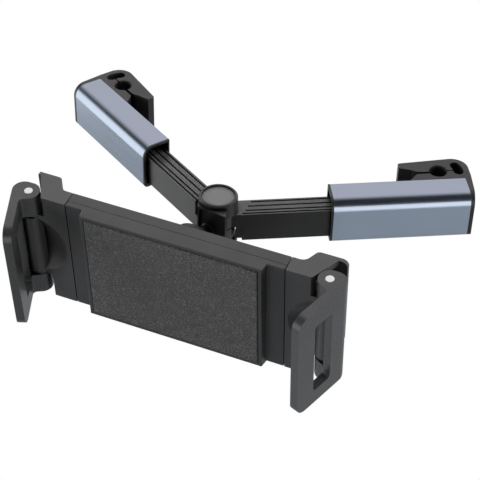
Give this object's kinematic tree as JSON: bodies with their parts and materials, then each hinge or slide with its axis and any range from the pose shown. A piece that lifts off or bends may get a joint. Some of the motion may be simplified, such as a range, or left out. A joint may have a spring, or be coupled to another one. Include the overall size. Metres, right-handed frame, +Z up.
{
  "type": "headrest tablet mount",
  "caption": "Tablet mount for a car headrest: telescopic arms clip on the headrest's posts and meet at a hub whose ball joint carries a spring-loaded holder with folding feet.",
  "frame": {"origin": "axis of the right post seat, halfway up its wall", "axes": "+Z up along the headrest posts, +X from the left post towards the right one, +Y away from the tablet, towards the seat's backrest"},
  "size_m": [0.3176, 0.2278, 0.1005],
  "materials": {
    "housing_plastic": "fine moulded texture",
    "bar_plastic": "satin moulded",
    "holder_plastic": "fine moulded texture",
    "disc_plastic": "satin",
    "cover_aluminium": "satin anodised",
    "steel": "bright",
    "nylon": "smooth",
    "pad_rubber": "leather grain"
  },
  "bodies": {
    "right_clamp": {"right_clamp": "housing_plastic", "right_cover": "cover_aluminium", "right_collar": "housing_plastic"},
    "right_bar": {"right_bar": "bar_plastic"},
    "hub": {"hub_body": "housing_plastic", "hub_disc": "disc_plastic", "pivot_sleeve": "steel", "pivot_screw": "steel", "friction_washer": "steel", "ball_stud": "housing_plastic"},
    "left_bar": {"left_bar": "bar_plastic"},
    "left_clamp": {"left_clamp": "housing_plastic", "left_cover": "cover_aluminium", "left_collar": "housing_plastic"},
    "socket_liner": {"socket_liner": "nylon"},
    "ring_nut": {"ring_nut": "holder_plastic"},
    "holder": {"front_shell": "holder_plastic", "rear_shell": "holder_plastic", "grip_pad": "pad_rubber", "shell_screws": "steel", "jaw_springs": "steel"},
    "right_jaw": {"right_jaw": "holder_plastic", "right_pin": "steel"},
    "right_foot": {"right_foot": "holder_plastic"},
    "left_jaw": {"left_jaw": "holder_plastic", "left_pin": "steel"},
    "left_foot": {"left_foot": "holder_plastic"}
  },
  "joints": [
    {"name": "right_extension", "type": "slide", "parent": "right_clamp", "child": "right_bar", "axis": [-0.848, -0.5299, 0], "range_m": [-0.034, 0.034]},
    {"name": "right_swivel", "type": "hinge", "parent": "right_bar", "child": "hub", "pos_m": [-0.12286, -0.09965, -0.00325], "axis": [0, 0, -1], "range_deg": [-22, 17]},
    {"name": "left_swivel", "type": "hinge", "parent": "hub", "child": "left_bar", "pos_m": [-0.12286, -0.09965, -0.00325], "axis": [0, 0, -1], "range_deg": [-6, 33]},
    {"name": "left_extension", "type": "slide", "parent": "left_bar", "child": "left_clamp", "axis": [-0.8746, 0.4848, 0], "range_m": [-0.034, 0.034]},
    {"name": "holder_pan", "type": "hinge", "parent": "hub", "child": "socket_liner", "pos_m": [-0.1267, -0.13444, -0.00175], "axis": [0, 0, 1], "range_deg": [-30, 10]},
    {"name": "holder_tilt", "type": "hinge", "parent": "socket_liner", "child": "ring_nut", "pos_m": [-0.1267, -0.13444, -0.00175], "axis": [0.9983, 0.0576, 0], "range_deg": [-27, 13]},
    {"name": "holder_spin", "type": "hinge", "parent": "ring_nut", "child": "holder", "pos_m": [-0.1267, -0.13444, -0.00175], "axis": [-0.0572, 0.9913, 0.1184], "continuous": true},
    {"name": "right_jaw_slide", "type": "slide", "parent": "holder", "child": "right_jaw", "axis": [0.9981, 0.0594, -0.0156], "range_m": [0, 0.04], "stiffness_N_per_m": 150, "springref_m": -0.02},
    {"name": "left_jaw_slide", "type": "slide", "parent": "holder", "child": "left_jaw", "axis": [-0.9981, -0.0594, 0.0156], "range_m": [0, 0.04], "stiffness_N_per_m": 150, "springref_m": -0.02},
    {"name": "right_foot_fold", "type": "hinge", "parent": "right_jaw", "child": "right_foot", "pos_m": [-0.01818, -0.14786, -0.01939], "axis": [-0.0225, 0.1173, -0.9928], "range_deg": [-20, 58]},
    {"name": "left_foot_fold", "type": "hinge", "parent": "left_jaw", "child": "left_foot", "pos_m": [-0.23337, -0.16067, -0.01603], "axis": [0.0225, -0.1173, 0.9928], "range_deg": [-20, 58]}
  ]
}
